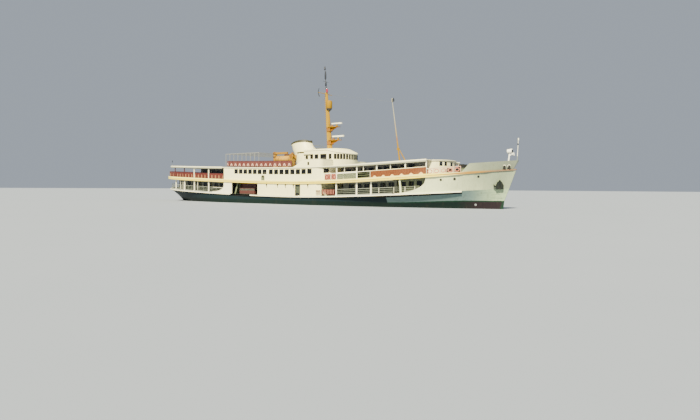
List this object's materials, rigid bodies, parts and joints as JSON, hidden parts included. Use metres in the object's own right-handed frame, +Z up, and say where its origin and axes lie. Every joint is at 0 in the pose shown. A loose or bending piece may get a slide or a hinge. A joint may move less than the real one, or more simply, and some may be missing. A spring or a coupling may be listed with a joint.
{
  "type": "1:2 scale model of a twin-screw passenger ferry",
  "caption": "Passenger ferry with a long low hull, open promenades, rounded wheelhouse, raked funnel and tall yellow mast, as a half-size model.",
  "frame": {"origin": "amidships on the centreline, at the still waterline", "axes": "+X forward to the bow, +Y to port, +Z up"},
  "size_m": [36.6527, 6.73, 13.22],
  "materials": {
    "hull_paint": "satin marine paint, black with red-brown below the water",
    "white_paint": "gloss marine paint over plate, weathered",
    "cream_moulding": "gloss paint, yellow cream with a brown line",
    "deck": "scrubbed planking",
    "red_rail": "faded red gloss paint",
    "grey_paint": "satin grey paint",
    "yellow_paint": "gloss yellow paint",
    "orange_boat": "moulded glass-fibre",
    "dark_steel": "black bitumen paint",
    "bronze": "cast propeller bronze",
    "antifouling": "matt antifouling"
  },
  "bodies": {
    "ship": {"hull": "hull_paint", "belting": "white_paint", "fore_shell": "white_paint", "upper_deck": "deck", "upper_deck_moulding": "cream_moulding", "bow_bulwark": "white_paint", "roof_deck": "white_paint", "lower_saloon_aft": "white_paint", "lower_house_mid": "white_paint", "lower_saloon_fore": "white_paint", "upper_saloon_aft": "white_paint", "upper_saloon_mid": "white_paint", "upper_saloon_fore": "white_paint", "main_frame_aft": "white_paint", "upper_frame_aft": "red_rail", "boat_deck_rail": "red_rail", "awning_frame": "grey_paint", "wheelhouse": "white_paint", "wheelhouse_roof": "white_paint", "helm": "deck", "funnel": "white_paint", "main_mast": "yellow_paint", "fore_mast": "yellow_paint", "rescue_boat": "orange_boat", "boat_cradle": "yellow_paint", "windlass": "dark_steel", "hatch_coaming": "white_paint", "searchlight": "white_paint", "stair": "grey_paint", "main_frame_fore_stbd": "white_paint", "main_frame_fore_port": "white_paint", "upper_frame_fore_stbd": "red_rail", "upper_frame_fore_port": "red_rail", "bridge_wing_stbd": "white_paint", "bridge_wing_port": "white_paint", "anchor_stbd": "dark_steel", "anchor_port": "dark_steel"},
    "rudder": {"rudder": "antifouling"},
    "propeller_stbd": {"propeller_stbd": "bronze"},
    "propeller_port": {"propeller_port": "bronze"},
    "radar_lower": {"radar_lower": "white_paint"},
    "radar_upper": {"radar_upper": "white_paint"},
    "davit": {"davit": "yellow_paint"},
    "side_door_stbd": {"side_door_stbd": "grey_paint"},
    "side_door_port": {"side_door_port": "grey_paint"},
    "bridge_door_stbd": {"bridge_door_stbd": "white_paint"},
    "bridge_door_port": {"bridge_door_port": "white_paint"},
    "gangway_gate_stbd": {"gangway_gate_stbd": "red_rail"},
    "gangway_gate_port": {"gangway_gate_port": "red_rail"},
    "hatch_lid": {"hatch_lid": "white_paint"}
  },
  "joints": [
    {"name": "rudder_turn", "type": "hinge", "parent": "ship", "child": "rudder", "pos_m": [-16, 0, -0.75], "axis": [0, 0, 1], "range_deg": [-35, 35]},
    {"name": "propeller_stbd_spin", "type": "hinge", "parent": "ship", "child": "propeller_stbd", "pos_m": [-14.95, -1.15, -1.075], "axis": [1, 0, 0], "continuous": true},
    {"name": "propeller_port_spin", "type": "hinge", "parent": "ship", "child": "propeller_port", "pos_m": [-14.95, 1.15, -1.075], "axis": [1, 0, 0], "continuous": true},
    {"name": "radar_lower_spin", "type": "hinge", "parent": "ship", "child": "radar_lower", "pos_m": [3.225, 0, 5.5], "axis": [0, 0, 1], "continuous": true},
    {"name": "radar_upper_spin", "type": "hinge", "parent": "ship", "child": "radar_upper", "pos_m": [3.075, 0, 6.6], "axis": [0, 0, 1], "continuous": true},
    {"name": "davit_slew", "type": "hinge", "parent": "ship", "child": "davit", "pos_m": [-1.75, -2.35, 3.5], "axis": [0, 0, 1], "range_deg": [-120, 15]},
    {"name": "bridge_door_stbd_swing", "type": "hinge", "parent": "ship", "child": "bridge_door_stbd", "pos_m": [1.135, -1.775, 3.5], "axis": [0, 0, 1], "range_deg": [-110, 0]},
    {"name": "bridge_door_port_swing", "type": "hinge", "parent": "ship", "child": "bridge_door_port", "pos_m": [1.135, 1.775, 3.5], "axis": [0, 0, 1], "range_deg": [0, 110]},
    {"name": "gangway_gate_stbd_swing", "type": "hinge", "parent": "ship", "child": "gangway_gate_stbd", "pos_m": [4.1, -3.155, 1], "axis": [0, 0, 1], "range_deg": [0, 90]},
    {"name": "gangway_gate_port_swing", "type": "hinge", "parent": "ship", "child": "gangway_gate_port", "pos_m": [4.1, 3.155, 1], "axis": [0, 0, 1], "range_deg": [-90, 0]},
    {"name": "hatch_lid_swing", "type": "hinge", "parent": "ship", "child": "hatch_lid", "pos_m": [15.5, 0, 2.69427], "axis": [0, -1, 0], "range_deg": [0, 100]},
    {"name": "side_door_stbd_slide", "type": "slide", "parent": "ship", "child": "side_door_stbd", "axis": [-1, 0, 0], "range_m": [0, 0.56]},
    {"name": "side_door_port_slide", "type": "slide", "parent": "ship", "child": "side_door_port", "axis": [-1, 0, 0], "range_m": [0, 0.56]}
  ]
}
